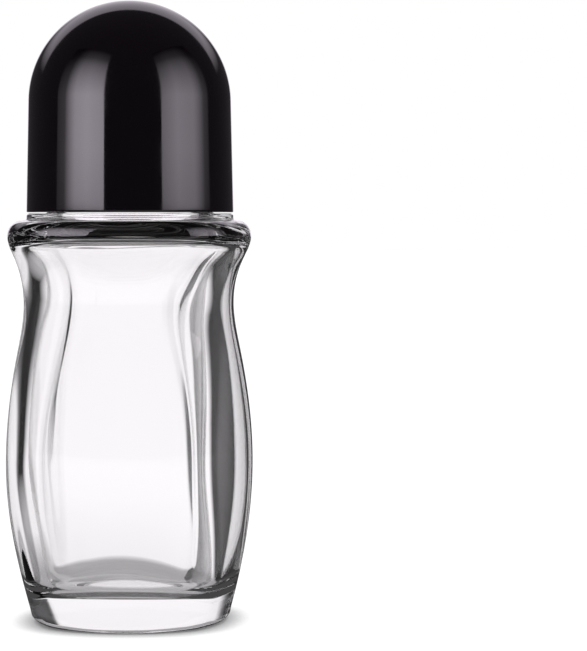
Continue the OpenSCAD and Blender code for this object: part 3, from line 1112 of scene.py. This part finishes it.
def soft_card(name, ends, across, strength, studio):
    """A standing card beside the cap that only reflections find."""
    a, b = (Vector((x * MM, y * MM, 0)) for x, y in ends)
    height = studio.card_top - studio.card_foot
    made = flat_card(name, (b - a).length, height)
    along_it = (b - a).normalized()
    turn = Matrix.Rotation(math.radians(studio.azimuth), 4, "Z")
    stand = Matrix((along_it, (0, 0, 1), along_it.cross((0, 0, 1)))).transposed().to_4x4()
    middle = (a + b) / 2 + Vector((0, 0, studio.card_foot + height / 2))
    made.matrix_world = turn @ Matrix.Translation(middle) @ stand
    made.visible_camera = made.visible_diffuse = made.visible_transmission = False
    made.visible_volume_scatter = made.visible_shadow = False
    paint, out = new_material(name)
    tree = paint.node_tree
    place = add(tree, "ShaderNodeTexCoord").outputs["Generated"]
    way = add(tree, "ShaderNodeSeparateXYZ", {"Vector": place}).outputs
    level = strength
    for axis, stops in (("X", across), ("Y", CARD_UP)):
        part = add(tree, "ShaderNodeValToRGB", {"Fac": way[axis]}, stops=stops)
        level = add(
            tree, "ShaderNodeMath", {0: level, 1: part.outputs["Color"]}, operation="MULTIPLY"
        ).outputs["Value"]
    glow = add(tree, "ShaderNodeEmission", {"Color": SHINE_TINT, "Strength": level})
    tree.links.new(glow.outputs["Emission"], out.inputs["Surface"])
    made.data.materials.append(paint)


def studio_world(studio):
    """White for the camera and the light, a white wall behind for shine and the field for glass."""
    world = bpy.data.worlds.new("studio")
    bpy.context.scene.world = world
    world.use_nodes = True
    tree = world.node_tree
    tree.nodes.clear()
    path = add(tree, "ShaderNodeLightPath")
    direction = add(tree, "ShaderNodeTexCoord").outputs["Generated"]
    _, way = facing(tree, direction, studio)
    ceiling = add(tree, "ShaderNodeValToRGB", {"Fac": way["Z"]}, stops=CEILING)
    through = add(
        tree,
        "ShaderNodeMath",
        {0: by_angle(tree, way, FIELD), 1: ceiling.outputs["Color"]},
        operation="MULTIPLY",
    )
    aside = add(tree, "ShaderNodeMath", {0: way["X"]}, operation="ABSOLUTE")
    middle = add(tree, "ShaderNodeValToRGB", {"Fac": aside.outputs["Value"]}, stops=WALL_MIDDLE)
    top = add(tree, "ShaderNodeValToRGB", {"Fac": way["Z"]}, stops=WALL_TOP)
    far = add(tree, "ShaderNodeValToRGB", {"Fac": way["Y"]}, stops=WALL_FAR)
    wall = middle.outputs["Color"]
    for part, operation in (
        (top.outputs["Color"], "MAXIMUM"),
        (far.outputs["Color"], "MULTIPLY"),
        (studio.dim, "MAXIMUM"),
    ):
        made = add(tree, "ShaderNodeMath", {0: wall, 1: part}, operation=operation)
        wall = made.outputs["Value"]
    level, tint = 1.0, WHITE
    for ray, strength, hue in (
        ("Is Glossy Ray", wall, SHINE_TINT),
        ("Is Transmission Ray", through.outputs["Value"], FIELD_TINT),
    ):
        flag = path.outputs[ray]
        level = add(
            tree, "ShaderNodeMix", {"Factor": flag, "A": level, "B": strength}
        ).outputs["Result"]
        tint = add(
            tree, "ShaderNodeMix", {"Factor": flag, "A": tint, "B": hue}, data_type="RGBA"
        ).outputs["Result"]
    back = add(tree, "ShaderNodeBackground", {"Color": tint, "Strength": level})
    out = add(tree, "ShaderNodeOutputWorld")
    tree.links.new(back.outputs["Background"], out.inputs["Surface"])


SENSOR = 36
CLIP_START, CLIP_END = 0.01, 20


def photo_camera(studio):
    """The photograph's camera, level and shifted to its frame by the way that it looks."""
    camera = bpy.data.cameras.new("camera")
    focal = studio.distance / studio.pixel
    camera.sensor_width = SENSOR
    camera.lens = SENSOR * focal / max(studio.frame_w, studio.frame_h)
    camera.clip_start, camera.clip_end = CLIP_START, CLIP_END
    right = (studio.frame_w / 2 - studio.axis_x) / focal
    down = (studio.frame_h / 2 - studio.eye_y) / focal
    look = Vector((right, 1, -down)).to_track_quat("-Z", "Y")
    swing = Matrix.Rotation(math.radians(studio.azimuth), 4, "Z")
    eye = bpy.data.objects.new("camera", camera)
    eye.matrix_world = swing @ Matrix.LocRotScale((0, -studio.distance, studio.eye_z), look, None)
    bpy.context.scene.collection.objects.link(eye)
    bpy.context.scene.camera = eye


# Light passes many faces of the glass, the housing and the ball before it leaves.
GLASS_BOUNCES = 24


class ROLLON_OT_stage(bpy.types.Operator):
    """Sets the white table, the studio's light and the photograph's camera"""

    bl_idname = "roll_on.stage"
    bl_label = "Stage"

    def execute(self, context):
        s = context.scene.roll_on_studio
        table = flat_card("table", s.table_half * 2, s.table_half * 2)
        table.data.materials.append(white_board(s))
        soft_card("left_card", LEFT_CARD, LEFT_ACROSS, s.left_card, s)
        soft_card("right_card", RIGHT_CARD, RIGHT_ACROSS, s.right_card, s)
        studio_world(s)
        photo_camera(s)
        context.scene.view_settings.view_transform = "Standard"
        context.scene.cycles.max_bounces = GLASS_BOUNCES
        context.scene.cycles.transmission_bounces = GLASS_BOUNCES
        return {"FINISHED"}


OPERATORS = (
    ROLLON_OT_glass,
    ROLLON_OT_ball,
    ROLLON_OT_cap_shell,
    ROLLON_OT_cap_liner,
    ROLLON_OT_stage,
)


class ROLLON_PT_pieces(bpy.types.Panel):
    """Lists what can be built"""

    bl_idname = "ROLLON_PT_pieces"
    bl_label = "Roll-on bottle"
    bl_space_type = "VIEW_3D"
    bl_region_type = "UI"
    bl_category = "Roll-on bottle"

    def draw(self, context):
        for operator in OPERATORS:
            self.layout.operator(operator.bl_idname)


CLASSES = (*GROUPS.values(), *OPERATORS, ROLLON_PT_pieces)


def register():
    for made in CLASSES:
        bpy.utils.register_class(made)
    for name, group in GROUPS.items():
        setattr(bpy.types.Scene, name, PointerProperty(type=group))


def unregister():
    for name in GROUPS:
        delattr(bpy.types.Scene, name)
    for made in reversed(CLASSES):
        bpy.utils.unregister_class(made)


def main():
    """Builds every piece and the stage."""
    register()
    bpy.ops.roll_on.glass()
    bpy.ops.roll_on.ball()
    bpy.ops.roll_on.cap_shell()
    bpy.ops.roll_on.cap_liner()
    bpy.ops.roll_on.stage()
    bpy.context.view_layer.update()


if __name__ == "__main__":
    main()
